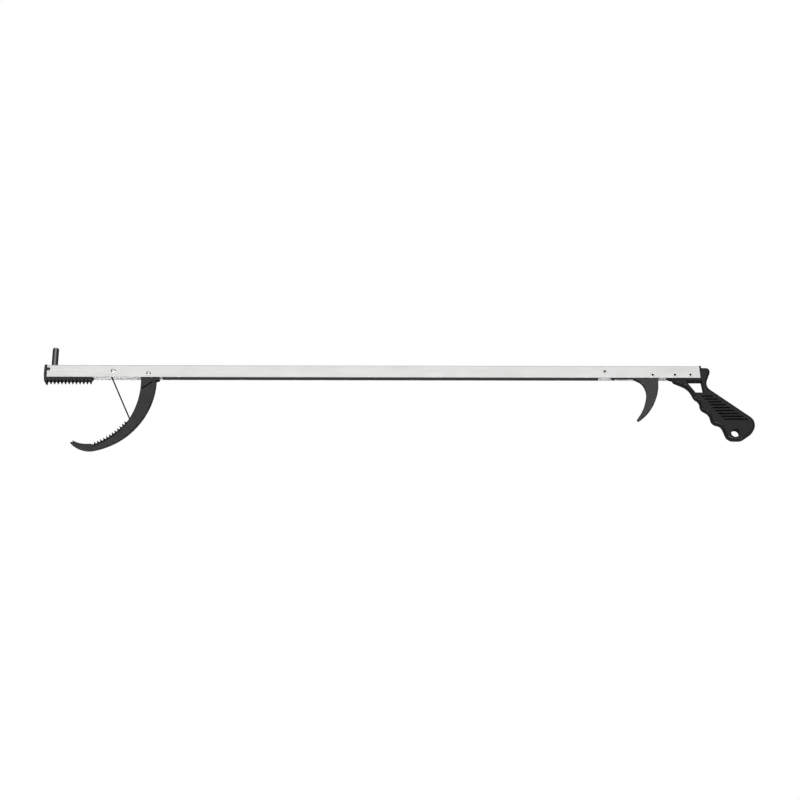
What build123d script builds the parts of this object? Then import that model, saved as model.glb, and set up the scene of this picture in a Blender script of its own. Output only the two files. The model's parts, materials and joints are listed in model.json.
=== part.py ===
"""Reacher grabber: an aluminium channel with a toothed jaw at one end and a trigger and grip at the other.

Millimetres. +X runs from the jaws to the grip, +Z is up, and Y is across the channel.
The origin is the middle of the grip. The channel lies above it, open along its underside.
Squeezing the trigger swings its arm down out of the channel. The arm pulls a cord over two
guide sleeves, and the cord closes the hooked jaw against the fixed one. A torsion spring
on the jaw's pivot opens it again.
"""

import os
from math import acos, atan2, cos, degrees, hypot, radians, sin, tan

from build123d import *

# ---------------------------------------------------------------- driving dimensions
GAP = 0.05  # clearance a side of a piece that is fitted into another

# channel
CHANNEL_FRONT_X = -767.0
CHANNEL_BACK_X = -21.0
CHANNEL_BOTTOM_Z = 36.5
CHANNEL_HEIGHT = 14.0
CHANNEL_WIDTH = 16.0
CHANNEL_WALL = 1.1
CHANNEL_CORNER = 1.3  # outer radius of the two upper corners
FRONT_CUT_DEG = 1.7  # the ends are cut a little out of square
BACK_CUT_DEG = 5.3

# pivots and cord guides, all across the channel
JAW_PIVOT = (-651.0, 40.6)
TRIGGER_PIVOT = (-74.8, 39.9)
FRONT_GUIDE = (-691.2, 43.7)
REAR_GUIDE = (-129.6, 43.7)
HANDLE_RIVETS = ((-49.4, 39.9), (-31.8, 39.9))
SHANK_RADIUS = 2.0
HEAD_RADIUS = 2.8
HEAD_HEIGHT = 1.1
RING_HEIGHT = 0.6  # the rolled end of a tubular rivet
HOLLOW_RADIUS = 1.45
HOLLOW_DEPTH = 3.0
BUSH_RADIUS = 3.2
RUNNING_FIT = 0.06

# fixed jaw, which also closes the front end of the channel
PLATE_FRONT_X = -770.5
PLATE_TOP_Z = 51.0
PLATE_BOTTOM_Z = 30.1
RAIL_END_X = -714.5
RAIL_WIDTH = 15.6
RAIL_TEETH = 12
RAIL_PITCH = 4.17
RAIL_FIRST_TIP_X = -763.9
RAIL_TIP_Z = 31.0
RAIL_VALLEY_Z = 33.7
RAIL_RIB_WIDTH = 1.3  # slanted grooves on the rail's sides, one a tooth
RAIL_RIB_DEPTH = 0.7
TIP_FLAT = 0.5
PLUG_LENGTH = 20.0
TONGUE_HEIGHT = 4.0
LUG_Z = 45.7
LUG_HEIGHT = 3.4
LUG_REACH = 3.6

# horn on top of the front end, with a magnet in its tip
HORN_X = -759.3
HORN_RADIUS = 3.7
HORN_HEIGHT = 20.6
HORN_LEAN_DEG = 2.6
SPIGOT_RADIUS = 2.4
SPIGOT_LENGTH = 8.0
MAGNET_RADIUS = 2.5
MAGNET_DEPTH = 4.0
MAGNET_PROUD = 1.2

# hooked jaw
JAW_THICKNESS = 12.0
JAW_EDGE = 0.9  # radius of its long edges
JAW_OUTER_CENTRE = (-728.3, 38.2)
JAW_OUTER_RADIUS = 86.8
JAW_INNER_CENTRE = (-745.2, 32.7)
JAW_INNER_RADIUS = 85.6
JAW_TEETH = 12
JAW_TEETH_CENTRE = (-743.7, 42.8)
JAW_TEETH_TIP_RADIUS = 88.0
JAW_TEETH_HEIGHT = 2.3
JAW_TEETH_FIRST_DEG = -41.3
JAW_TEETH_STEP_DEG = -2.455
JAW_TEETH_WIDTH = 9.6
JAW_TEETH_BAND = 1.9  # height of the recessed band that the teeth stand on
JAW_HUB_RADIUS = 7.6
JAW_FORK_GAP = 7.4
JAW_FORK_FLOOR_Z = 33.1
STOP_WIDTH = 15.4
STOP_CLEARANCE = 0.3

# trigger
TRIGGER_THICKNESS = 10.0
TRIGGER_EDGE = 1.2  # radius of the edges under the fingers
TRIGGER_HUB_RADIUS = 4.4
TRIGGER_HUB_WIDTH = 12.6
ARM_END_X = -122.6
ARM_TOP_Z = 41.6
ARM_BOTTOM_Z = 37.3
CORD_HOLE_X = -119.4

# cord
CORD_RADIUS = 0.85
SLEEVE_GROOVE_RADIUS = 3.6
SLEEVE_RIM_RADIUS = 4.7
CORD_ENTRY = (-672.3, -10.4)  # where the cord goes into the hooked jaw
CORD_DEPTH_IN_JAW = 9.6
FERRULE_RADIUS = 2.1
FERRULE_LENGTH = 3.9

# cover strip under the channel
STRIP_FRONT_X = -635.0
STRIP_BACK_X = -137.0
STRIP_THICKNESS = 1.4
STRIP_LEG_HEIGHT = 5.5

# torsion spring on the jaw's pivot
SPRING_RADIUS = 4.6
SPRING_WIRE = 1.0
SPRING_PITCH = 1.15
SPRING_START_DEG = 70.0  # where the coil starts, seen from the side, above +X
SPRING_TURNS = 4 + SPRING_START_DEG / 360  # so that it ends beside the pivot
SPRING_JAW_LEG = 6.4

# handle
HANDLE_THICKNESS = 16.0
HANDLE_EDGE = 2.2
HANDLE_EDGE_TOP_Z = 30.0
HANDLE_PLUG_FRONT_X = -58.0
BACK_LINE_POINT = (37.6, -9.7)  # a point on the straight back of the grip
BACK_LINE_SLOPE = -0.687
GROOVES = 9
GROOVE_TOP_Z = 15.0
GROOVE_PITCH = 3.36
GROOVE_HEIGHT = 1.6
GROOVE_DEPTH = 3.0
GROOVE_LEFT_X = -19.0
GROOVE_LEFT_STEP = 2.96
GROOVE_MARGIN = 8.3
HANG_HOLE = (18.2, -27.5)
HANG_HOLE_RADIUS = 4.9

# ---------------------------------------------------------------- worked out from them
CHANNEL_TOP_Z = CHANNEL_BOTTOM_Z + CHANNEL_HEIGHT
CHANNEL_MID_Z = CHANNEL_BOTTOM_Z + CHANNEL_HEIGHT / 2
INNER_WIDTH = CHANNEL_WIDTH - 2 * CHANNEL_WALL
INNER_TOP_Z = CHANNEL_TOP_Z - CHANNEL_WALL
FACE_Y = CHANNEL_WIDTH / 2
PLATE_BACK_X = CHANNEL_FRONT_X - GAP
CORD_BEND = SLEEVE_GROOVE_RADIUS + CORD_RADIUS  # radius of the cord's centreline on a sleeve
CORD_Z = FRONT_GUIDE[1] + CORD_BEND
FRONT_SKEW = CHANNEL_HEIGHT / 2 * tan(radians(FRONT_CUT_DEG))
BACK_SKEW = CHANNEL_HEIGHT / 2 * tan(radians(BACK_CUT_DEG))
SIDE = Plane.XZ  # profiles are drawn on it: local x is X and local y is Z


def on_circle(centre, radius, degrees_up):
    """The point of a circle in the side view at an angle above +X."""
    angle = radians(degrees_up)
    return (centre[0] + radius * cos(angle), centre[1] + radius * sin(angle))


def tangent_point(centre, radius, point, side):
    """Where a line from the point touches the circle. side is 1 or -1, for the two touching lines."""
    away = (point[0] - centre[0], point[1] - centre[1])
    turn = side * degrees(acos(radius / hypot(*away)))
    return on_circle(centre, radius, degrees(atan2(away[1], away[0])) + turn)


def along(start, end, distance):
    """The point at a distance from start, towards end."""
    share = distance / hypot(end[0] - start[0], end[1] - start[1])
    return (start[0] + (end[0] - start[0]) * share, start[1] + (end[1] - start[1]) * share)


def side_point(point):
    """A point of the side view as a point in space."""
    return Vector(point[0], 0, point[1])


def back_line_x(z):
    """Where the straight back of the grip is at a height."""
    return BACK_LINE_POINT[0] + (z - BACK_LINE_POINT[1]) / BACK_LINE_SLOPE


def save(part, name):
    """Label one piece and write it as its own STEP file."""
    part.label = name
    export_step(part, f"parts/{name}.step")


# the cord's corners: the fillet of each has the radius of the sleeve that it goes round
CORD_TOUCH = tangent_point(FRONT_GUIDE, CORD_BEND, CORD_ENTRY, -1)
CORD_FALL = (CORD_Z - CORD_TOUCH[1]) / (CORD_ENTRY[1] - CORD_TOUCH[1])
FRONT_CORNER = (CORD_TOUCH[0] + (CORD_ENTRY[0] - CORD_TOUCH[0]) * CORD_FALL, CORD_Z)
CORD_RUN_LENGTH = hypot(CORD_ENTRY[0] - CORD_TOUCH[0], CORD_ENTRY[1] - CORD_TOUCH[1])
CORD_END_IN_JAW = along(CORD_TOUCH, CORD_ENTRY, CORD_RUN_LENGTH + CORD_DEPTH_IN_JAW)
REAR_FALL_DEG = 34.0
REAR_CORNER = (REAR_GUIDE[0] + CORD_BEND * tan(radians(REAR_FALL_DEG / 2)), CORD_Z)
REAR_TOUCH = on_circle(REAR_GUIDE, CORD_BEND, 90 - REAR_FALL_DEG)
ARM_CORNER = (CORD_HOLE_X, REAR_TOUCH[1] - (CORD_HOLE_X - REAR_TOUCH[0]) * tan(radians(REAR_FALL_DEG)))
TRIGGER_FERRULE_TOP_Z = 39.4

os.makedirs("parts", exist_ok=True)

# ---------------------------------------------------------------- channel
with BuildPart() as channel:
    with BuildSketch(Plane.YZ.offset(CHANNEL_FRONT_X - 1)):
        with Locations((0, CHANNEL_MID_Z)):
            Rectangle(CHANNEL_WIDTH, CHANNEL_HEIGHT)
        with Locations((0, CHANNEL_BOTTOM_Z)):
            Rectangle(INNER_WIDTH, 2 * (CHANNEL_HEIGHT - CHANNEL_WALL), mode=Mode.SUBTRACT)
    extrude(amount=CHANNEL_BACK_X - CHANNEL_FRONT_X + 2)
    top_edges = channel.faces().sort_by(Axis.Z)[-1].edges().filter_by(Axis.X)
    fillet(top_edges, radius=CHANNEL_CORNER)
    for end_x, outward, cut_deg in ((CHANNEL_FRONT_X, -1, FRONT_CUT_DEG), (CHANNEL_BACK_X, 1, BACK_CUT_DEG)):
        end_plane = Plane(origin=(end_x, 0, CHANNEL_MID_Z), z_dir=(outward, 0, tan(radians(cut_deg))))
        split(bisect_by=end_plane, keep=Keep.BOTTOM)
    # rivet holes through both walls
    with BuildSketch(SIDE):
        with Locations(JAW_PIVOT, TRIGGER_PIVOT, FRONT_GUIDE, REAR_GUIDE, *HANDLE_RIVETS):
            Circle(SHANK_RADIUS + GAP)
    extrude(amount=CHANNEL_WIDTH, both=True, mode=Mode.SUBTRACT)
    # half-round notches at the front end, for the lugs of the fixed jaw
    with BuildSketch(SIDE):
        with Locations((CHANNEL_FRONT_X, LUG_Z)):
            SlotOverall(2 * (LUG_REACH + GAP), LUG_HEIGHT + 2 * GAP)
    extrude(amount=CHANNEL_WIDTH, both=True, mode=Mode.SUBTRACT)
    # hole in the web for the horn's spigot
    with BuildSketch(Plane.XY.offset(CHANNEL_TOP_Z + 1)):
        with Locations((HORN_X, 0)):
            Circle(SPIGOT_RADIUS + GAP)
    extrude(amount=-3, mode=Mode.SUBTRACT)
save(channel.part, "channel")

# ---------------------------------------------------------------- fixed jaw
plug_front_x = PLATE_BACK_X - 0.6  # inside the end plate
teeth_line = [(plug_front_x, RAIL_VALLEY_Z)]
for tooth in range(RAIL_TEETH):
    tip_x = RAIL_FIRST_TIP_X + tooth * RAIL_PITCH
    teeth_line += [
        (tip_x - RAIL_PITCH / 2 + TIP_FLAT, RAIL_VALLEY_Z),
        (tip_x - TIP_FLAT / 2, RAIL_TIP_Z),
        (tip_x + TIP_FLAT / 2, RAIL_TIP_Z),
        (tip_x + RAIL_PITCH / 2 - TIP_FLAT, RAIL_VALLEY_Z),
    ]
teeth_line += [(RAIL_END_X - 2.6, RAIL_VALLEY_Z), (RAIL_END_X, CHANNEL_BOTTOM_Z - GAP)]

with BuildPart() as fixed_jaw:
    # serrated rail under the channel
    with BuildSketch(SIDE):
        with BuildLine():
            Polyline(*teeth_line, (plug_front_x, CHANNEL_BOTTOM_Z - GAP), close=True)
        make_face()
    extrude(amount=RAIL_WIDTH / 2, both=True)
    # slanted grooves on the rail's sides
    for side_y in (RAIL_WIDTH / 2, -RAIL_WIDTH / 2):
        with BuildSketch(SIDE.offset(side_y)):
            for tooth in range(RAIL_TEETH):
                groove_x = RAIL_FIRST_TIP_X + (tooth + 0.5) * RAIL_PITCH
                with BuildLine():
                    Line((groove_x - 1.0, CHANNEL_BOTTOM_Z - 0.9), (groove_x + 0.6, RAIL_VALLEY_Z - 0.6))
                trace(line_width=RAIL_RIB_WIDTH)
        extrude(amount=RAIL_RIB_DEPTH, both=True, mode=Mode.SUBTRACT)
    # end plate with a bowed front
    with BuildSketch(SIDE):
        with BuildLine():
            ThreePointArc(
                (PLATE_FRONT_X + 0.6, PLATE_TOP_Z - 1.2),
                (PLATE_FRONT_X, CHANNEL_BOTTOM_Z + 2),
                (PLATE_FRONT_X + 0.4, PLATE_BOTTOM_Z + 1.8),
            )
            Polyline(
                (PLATE_FRONT_X + 0.4, PLATE_BOTTOM_Z + 1.8),
                (PLATE_FRONT_X + 1.6, PLATE_BOTTOM_Z),
                (PLATE_FRONT_X + 2.5, PLATE_BOTTOM_Z),
                (PLATE_BACK_X, RAIL_VALLEY_Z - 0.8),
                (PLATE_BACK_X - FRONT_SKEW, CHANNEL_BOTTOM_Z),
                (PLATE_BACK_X + FRONT_SKEW, CHANNEL_TOP_Z),
                (PLATE_BACK_X - 0.6, PLATE_TOP_Z),
                (PLATE_FRONT_X + 1.9, PLATE_TOP_Z),
                (PLATE_FRONT_X + 0.6, PLATE_TOP_Z - 1.2),
            )
        make_face()
    extrude(amount=CHANNEL_WIDTH / 2, both=True)
    # plug and tongue inside the channel
    with BuildSketch(SIDE):
        with BuildLine():
            Polyline(
                (plug_front_x, CHANNEL_BOTTOM_Z - 1),
                (RAIL_END_X - 2, CHANNEL_BOTTOM_Z - 1),
                (RAIL_END_X - 2, CHANNEL_BOTTOM_Z + TONGUE_HEIGHT / 2),
                (RAIL_END_X - 5, CHANNEL_BOTTOM_Z + TONGUE_HEIGHT),
                (CHANNEL_FRONT_X + PLUG_LENGTH + 4, CHANNEL_BOTTOM_Z + TONGUE_HEIGHT),
                (CHANNEL_FRONT_X + PLUG_LENGTH, INNER_TOP_Z - GAP),
                (plug_front_x, INNER_TOP_Z - GAP),
                close=True,
            )
        make_face()
    extrude(amount=INNER_WIDTH / 2 - GAP, both=True)
    # side lugs that sit in the channel's notches
    with BuildSketch(SIDE):
        with Locations((PLATE_BACK_X - 0.2, LUG_Z)):
            SlotOverall(2 * LUG_REACH, LUG_HEIGHT)
        with Locations((PLATE_BACK_X - LUG_REACH - 1.2, LUG_Z)):
            Rectangle(2 * LUG_REACH, 2 * LUG_HEIGHT, mode=Mode.SUBTRACT)
    extrude(amount=CHANNEL_WIDTH / 2 - 0.1, both=True)
    # socket for the horn
    with BuildSketch(Plane.XY.offset(INNER_TOP_Z + 1)):
        with Locations((HORN_X, 0)):
            Circle(SPIGOT_RADIUS + GAP)
    extrude(amount=-(SPIGOT_LENGTH + 1), mode=Mode.SUBTRACT)
save(fixed_jaw.part, "fixed_jaw")

# ---------------------------------------------------------------- horn and its magnet
horn_lean = radians(HORN_LEAN_DEG)
horn_foot = Plane(origin=(HORN_X, 0, CHANNEL_TOP_Z + 0.05), z_dir=(sin(horn_lean), 0, cos(horn_lean)))

with BuildPart() as horn:
    with BuildSketch(horn_foot):
        Circle(HORN_RADIUS)
    extrude(amount=HORN_HEIGHT)
    chamfer(horn.faces().sort_by(Axis.Z)[-1].edges(), length=0.4)
    with BuildSketch(Plane.XY.offset(CHANNEL_TOP_Z + 0.6)):
        with Locations((HORN_X, 0)):
            Circle(SPIGOT_RADIUS)
    extrude(amount=-(SPIGOT_LENGTH + 0.6))
    with BuildSketch(Plane.XY.offset(CHANNEL_TOP_Z + 0.02)):
        with Locations((HORN_X, 0)):
            Circle(HORN_RADIUS + 1)
            Circle(SPIGOT_RADIUS, mode=Mode.SUBTRACT)
    extrude(amount=-2, mode=Mode.SUBTRACT)
    with BuildSketch(horn_foot.offset(HORN_HEIGHT)):
        Circle(MAGNET_RADIUS + GAP / 2)
    extrude(amount=-MAGNET_DEPTH, mode=Mode.SUBTRACT)
save(horn.part, "horn")

with BuildPart() as horn_magnet:
    with BuildSketch(horn_foot.offset(HORN_HEIGHT - MAGNET_DEPTH)):
        Circle(MAGNET_RADIUS)
    extrude(amount=MAGNET_DEPTH + MAGNET_PROUD)
    chamfer(horn_magnet.faces().sort_by(Axis.Z)[-1].edges(), length=0.25)
save(horn_magnet.part, "horn_magnet")


# ---------------------------------------------------------------- rivets, sleeves, bushes
def domed_rivet(place):
    """A rivet with a domed head on the -Y side and a rolled end on the +Y side."""
    with BuildPart() as rivet:
        with BuildSketch(SIDE.offset(FACE_Y)):
            with Locations(place):
                Circle(SHANK_RADIUS)
        extrude(amount=-CHANNEL_WIDTH)
        with BuildSketch(Plane.YZ.offset(place[0])):
            with BuildLine():
                Polyline(
                    (-FACE_Y, place[1] + HEAD_RADIUS),
                    (-FACE_Y, place[1]),
                    (-FACE_Y - HEAD_HEIGHT, place[1]),
                )
                ThreePointArc(
                    (-FACE_Y - HEAD_HEIGHT, place[1]),
                    (-FACE_Y - HEAD_HEIGHT * 0.8, place[1] + HEAD_RADIUS * 0.55),
                    (-FACE_Y, place[1] + HEAD_RADIUS),
                )
            make_face()
        revolve(axis=Axis((place[0], 0, place[1]), (0, 1, 0)))
        with BuildSketch(SIDE.offset(-FACE_Y)):
            with Locations(place):
                Circle(HEAD_RADIUS - 0.3)
        extrude(amount=-RING_HEIGHT)
        with BuildSketch(SIDE.offset(-FACE_Y - RING_HEIGHT)):
            with Locations(place):
                Circle(SHANK_RADIUS * 0.55)
        extrude(amount=3.0, mode=Mode.SUBTRACT)
    return rivet.part


def tubular_rivets(places):
    """Rivets with a flat head on the +Y side and a rolled, hollow end on the -Y side."""
    with BuildPart() as rivets:
        with BuildSketch(SIDE.offset(FACE_Y)):
            with Locations(*places):
                Circle(SHANK_RADIUS)
        extrude(amount=-CHANNEL_WIDTH)
        for head_y, outward in ((FACE_Y, 1), (-FACE_Y, -1)):
            with BuildSketch(SIDE.offset(head_y)):
                with Locations(*places):
                    Circle(HEAD_RADIUS - 0.3)
            extrude(amount=outward * RING_HEIGHT)
        rims = rivets.faces().filter_by(Axis.Y).group_by(Axis.Y)
        fillet(rims[0].edges(), radius=0.35)
        fillet(rims[-1].edges(), radius=0.35)
        with BuildSketch(SIDE.offset(FACE_Y + RING_HEIGHT)):
            with Locations(*places):
                Circle(HOLLOW_RADIUS)
        extrude(amount=-HOLLOW_DEPTH, mode=Mode.SUBTRACT)
    return rivets.part


def guide_sleeve(place):
    """A spool on a rivet, with a groove that the cord runs in."""
    half = INNER_WIDTH / 2 - GAP
    with BuildPart() as sleeve:
        with BuildSketch(Plane.YZ.offset(place[0])):
            with BuildLine():
                Polyline(
                    (-half, place[1] + SHANK_RADIUS + GAP),
                    (-half, place[1] + BUSH_RADIUS),
                    (-3.0, place[1] + BUSH_RADIUS),
                    (-3.0, place[1] + SLEEVE_RIM_RADIUS),
                    (-1.8, place[1] + SLEEVE_RIM_RADIUS),
                    (-1.0, place[1] + SLEEVE_GROOVE_RADIUS),
                    (1.0, place[1] + SLEEVE_GROOVE_RADIUS),
                    (1.8, place[1] + SLEEVE_RIM_RADIUS),
                    (3.0, place[1] + SLEEVE_RIM_RADIUS),
                    (3.0, place[1] + BUSH_RADIUS),
                    (half, place[1] + BUSH_RADIUS),
                    (half, place[1] + SHANK_RADIUS + GAP),
                    close=True,
                )
            make_face()
        revolve(axis=Axis((place[0], 0, place[1]), (0, 1, 0)))
    return sleeve.part


def pivot_bush(place):
    """A plain tube on a rivet, between the channel's walls, that a lever turns on."""
    with BuildPart() as bush:
        with BuildSketch(SIDE):
            with Locations(place):
                Circle(BUSH_RADIUS)
                Circle(SHANK_RADIUS + GAP, mode=Mode.SUBTRACT)
        extrude(amount=INNER_WIDTH / 2 - GAP, both=True)
    return bush.part


save(domed_rivet(FRONT_GUIDE), "front_guide_rivet")
save(domed_rivet(JAW_PIVOT), "jaw_pivot_rivet")
save(tubular_rivets([REAR_GUIDE]), "rear_guide_rivet")
save(tubular_rivets([TRIGGER_PIVOT]), "trigger_pivot_rivet")
save(tubular_rivets(HANDLE_RIVETS), "handle_rivets")
save(guide_sleeve(FRONT_GUIDE), "front_guide_sleeve")
save(guide_sleeve(REAR_GUIDE), "rear_guide_sleeve")
save(pivot_bush(JAW_PIVOT), "jaw_pivot_bush")
save(pivot_bush(TRIGGER_PIVOT), "trigger_pivot_bush")

# ---------------------------------------------------------------- cover strip
with BuildPart() as cover_strip:
    with BuildSketch(Plane.YZ.offset(STRIP_FRONT_X)):
        with Locations((0, CHANNEL_BOTTOM_Z + STRIP_LEG_HEIGHT / 2)):
            Rectangle(INNER_WIDTH - 2 * GAP, STRIP_LEG_HEIGHT)
        with Locations((0, CHANNEL_BOTTOM_Z + STRIP_LEG_HEIGHT / 2 + STRIP_THICKNESS)):
            Rectangle(INNER_WIDTH - 2 * STRIP_THICKNESS, STRIP_LEG_HEIGHT, mode=Mode.SUBTRACT)
    extrude(amount=STRIP_BACK_X - STRIP_FRONT_X)
save(cover_strip.part, "cover_strip")

# ---------------------------------------------------------------- hooked jaw
jaw_top_z = JAW_PIVOT[1] - 4.6
outer_top = (JAW_PIVOT[0] + 8.8, jaw_top_z)
inner_top = (JAW_PIVOT[0] - 8.7, jaw_top_z)
outer_end = (-714.7, -48.1)
prong_tip = (-738.8, -39.4)
prong_top = (-736.0, -37.3)
prong_root = (-717.0, -41.2)
teeth_root_radius = JAW_TEETH_TIP_RADIUS + JAW_TEETH_HEIGHT
teeth_start = on_circle(JAW_TEETH_CENTRE, teeth_root_radius, JAW_TEETH_FIRST_DEG + 1.6)
teeth_middle = on_circle(JAW_TEETH_CENTRE, teeth_root_radius, JAW_TEETH_FIRST_DEG + 6 * JAW_TEETH_STEP_DEG)
teeth_end = on_circle(JAW_TEETH_CENTRE, teeth_root_radius, JAW_TEETH_FIRST_DEG + 11.5 * JAW_TEETH_STEP_DEG)
inner_end = on_circle(JAW_INNER_CENTRE, JAW_INNER_RADIUS, -33.0)
jaw_marks = [  # start, end, width and depth of each
    ((-658.6, 23.6), (-646.4, 31.3), 1.4, 2.8),
    ((-675.6, -20.6), (-670.6, -23.4), 0.5, 0.3),
    ((-668.6, -9.1), (-660.8, -13.5), 0.5, 0.3),
    ((-666.6, -23.4), (-662.4, -19.2), 1.0, 1.6),
]

with BuildPart() as hooked_jaw:
    with BuildSketch(SIDE):
        with BuildLine():
            ThreePointArc(outer_top, on_circle(JAW_OUTER_CENTRE, JAW_OUTER_RADIUS, -38), outer_end)
            ThreePointArc(outer_end, (-727.6, -46.5), prong_tip)
            Polyline(prong_tip, (-735.6, -39.3), prong_top)
            ThreePointArc(prong_top, (-725.5, -41.0), prong_root)
            Line(prong_root, teeth_end)
            ThreePointArc(teeth_end, teeth_middle, teeth_start)
            Line(teeth_start, inner_end)
            ThreePointArc(inner_end, on_circle(JAW_INNER_CENTRE, JAW_INNER_RADIUS, -12), inner_top)
            Polyline(
                inner_top,
                (JAW_PIVOT[0] - JAW_HUB_RADIUS + 0.3, JAW_PIVOT[1]),
                (JAW_PIVOT[0] + JAW_HUB_RADIUS - 0.3, JAW_PIVOT[1]),
                outer_top,
            )
        make_face()
    extrude(amount=JAW_THICKNESS / 2, both=True)
    long_edges = hooked_jaw.faces().filter_by(Axis.Y).edges().filter_by(lambda edge: edge.length > 20)
    fillet(long_edges, radius=JAW_EDGE)
    # a shallow channel along the back of the hook
    with BuildSketch(SIDE):
        with BuildLine():
            CenterArc(JAW_OUTER_CENTRE, JAW_OUTER_RADIUS - 0.45, -74, 66)
        trace(line_width=1.5)
    extrude(amount=2.6, both=True, mode=Mode.SUBTRACT)
    # hub round the pivot
    with BuildSketch(SIDE):
        with Locations(JAW_PIVOT):
            Circle(JAW_HUB_RADIUS)
    extrude(amount=JAW_THICKNESS / 2, both=True)
    # teeth, a little narrower than the hook
    with BuildSketch(SIDE):
        for tooth in range(JAW_TEETH):
            tooth_deg = JAW_TEETH_FIRST_DEG + tooth * JAW_TEETH_STEP_DEG
            with BuildLine():
                Polyline(
                    on_circle(JAW_TEETH_CENTRE, teeth_root_radius + 0.4, tooth_deg + 0.85),
                    on_circle(JAW_TEETH_CENTRE, JAW_TEETH_TIP_RADIUS, tooth_deg + 0.1),
                    on_circle(JAW_TEETH_CENTRE, JAW_TEETH_TIP_RADIUS, tooth_deg - 0.35),
                    on_circle(JAW_TEETH_CENTRE, teeth_root_radius + 0.4, tooth_deg - 0.85),
                    close=True,
                )
            make_face()
    extrude(amount=JAW_TEETH_WIDTH / 2, both=True)
    # stop behind the hub, which meets the channel's edges when the jaw is open
    with BuildSketch(SIDE):
        with BuildLine():
            Polyline(
                (outer_top[0] - 3.0, CHANNEL_BOTTOM_Z - STOP_CLEARANCE),
                (outer_top[0] + 3.6, CHANNEL_BOTTOM_Z - STOP_CLEARANCE),
                (outer_top[0] + 3.2, CHANNEL_BOTTOM_Z - 1.9),
                (outer_top[0] - 3.0, CHANNEL_BOTTOM_Z - 3.6),
                close=True,
            )
        make_face()
    extrude(amount=STOP_WIDTH / 2, both=True)
    # on both sides: a recessed band under the teeth, a diagonal step below the hub, two faint
    # seams across the hook, and a nick at its back
    for side_y in (JAW_THICKNESS / 2, -JAW_THICKNESS / 2):
        with BuildSketch(SIDE.offset(side_y)):
            with BuildLine():
                CenterArc(JAW_TEETH_CENTRE, teeth_root_radius + JAW_TEETH_BAND / 2 - 0.3, -70, 29)
            trace(line_width=JAW_TEETH_BAND + 0.6)
        extrude(amount=(JAW_THICKNESS - JAW_TEETH_WIDTH) / 2, both=True, mode=Mode.SUBTRACT)
        for start, end, width, depth in jaw_marks:
            with BuildSketch(SIDE.offset(side_y)):
                with BuildLine():
                    Line(start, end)
                trace(line_width=width)
            extrude(amount=depth, both=True, mode=Mode.SUBTRACT)
    # fork round the spring
    with BuildSketch(Plane.XY.offset(JAW_FORK_FLOOR_Z)):
        with Locations((JAW_PIVOT[0], 0)):
            Rectangle(4 * JAW_HUB_RADIUS, JAW_FORK_GAP)
    extrude(amount=CHANNEL_HEIGHT + JAW_HUB_RADIUS, mode=Mode.SUBTRACT)
    # bore for the pivot bush
    with BuildSketch(SIDE):
        with Locations(JAW_PIVOT):
            Circle(BUSH_RADIUS + RUNNING_FIT)
    extrude(amount=JAW_THICKNESS, both=True, mode=Mode.SUBTRACT)
    # hole in the fork's floor for the spring's leg
    with BuildSketch(Plane.XY.offset(JAW_FORK_FLOOR_Z)):
        with Locations((JAW_PIVOT[0] + SPRING_RADIUS, SPRING_TURNS * SPRING_PITCH / 2)):
            Circle(SPRING_WIRE / 2 + 0.25)
    extrude(amount=-4.0, mode=Mode.SUBTRACT)
    # tunnel for the cord, and the pocket for its ferrule
    cord_way = Plane(
        origin=(CORD_ENTRY[0], 0, CORD_ENTRY[1]),
        z_dir=(CORD_ENTRY[0] - CORD_TOUCH[0], 0, CORD_ENTRY[1] - CORD_TOUCH[1]),
    )
    with BuildSketch(cord_way.offset(-4)):
        Circle(CORD_RADIUS + 0.5)
    extrude(amount=24, mode=Mode.SUBTRACT)
    with BuildSketch(cord_way.offset(9.3)):
        SlotOverall(7.0, 2 * FERRULE_RADIUS + 0.4)
    extrude(amount=10, mode=Mode.SUBTRACT)
save(hooked_jaw.part, "hooked_jaw")

# ---------------------------------------------------------------- torsion spring
HELIX_START_DEG = 90.0  # the coil is drawn from the pivot's top and then turned
spring_width = SPRING_TURNS * SPRING_PITCH
spring_axis = Axis((JAW_PIVOT[0], 0, JAW_PIVOT[1]), (0, -1, 0))
coil_start_z = JAW_PIVOT[1] + SPRING_RADIUS * sin(radians(SPRING_START_DEG))
web_rise = INNER_TOP_Z - GAP - SPRING_WIRE / 2 - coil_start_z
frame_leg = web_rise / cos(radians(SPRING_START_DEG))

with BuildPart() as jaw_spring:
    with BuildLine() as coil:
        Helix(
            SPRING_PITCH,
            spring_width,
            SPRING_RADIUS,
            center=(JAW_PIVOT[0], -spring_width / 2, JAW_PIVOT[1]),
            direction=(0, 1, 0),
        )
    with BuildSketch(Plane(origin=coil.line @ 0, z_dir=coil.line % 0)):
        Circle(SPRING_WIRE / 2)
    sweep(path=coil.line, is_frenet=True)
    # one leg runs up to the channel's web, the other down to the jaw
    for end, reach in ((0, -frame_leg), (1, SPRING_JAW_LEG)):
        with BuildSketch(Plane(origin=coil.line @ end, z_dir=coil.line % end)):
            Circle(SPRING_WIRE / 2)
        extrude(amount=reach)
spring_turn = SPRING_START_DEG - HELIX_START_DEG
save(jaw_spring.part.rotate(spring_axis, spring_turn), "jaw_spring")

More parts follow.
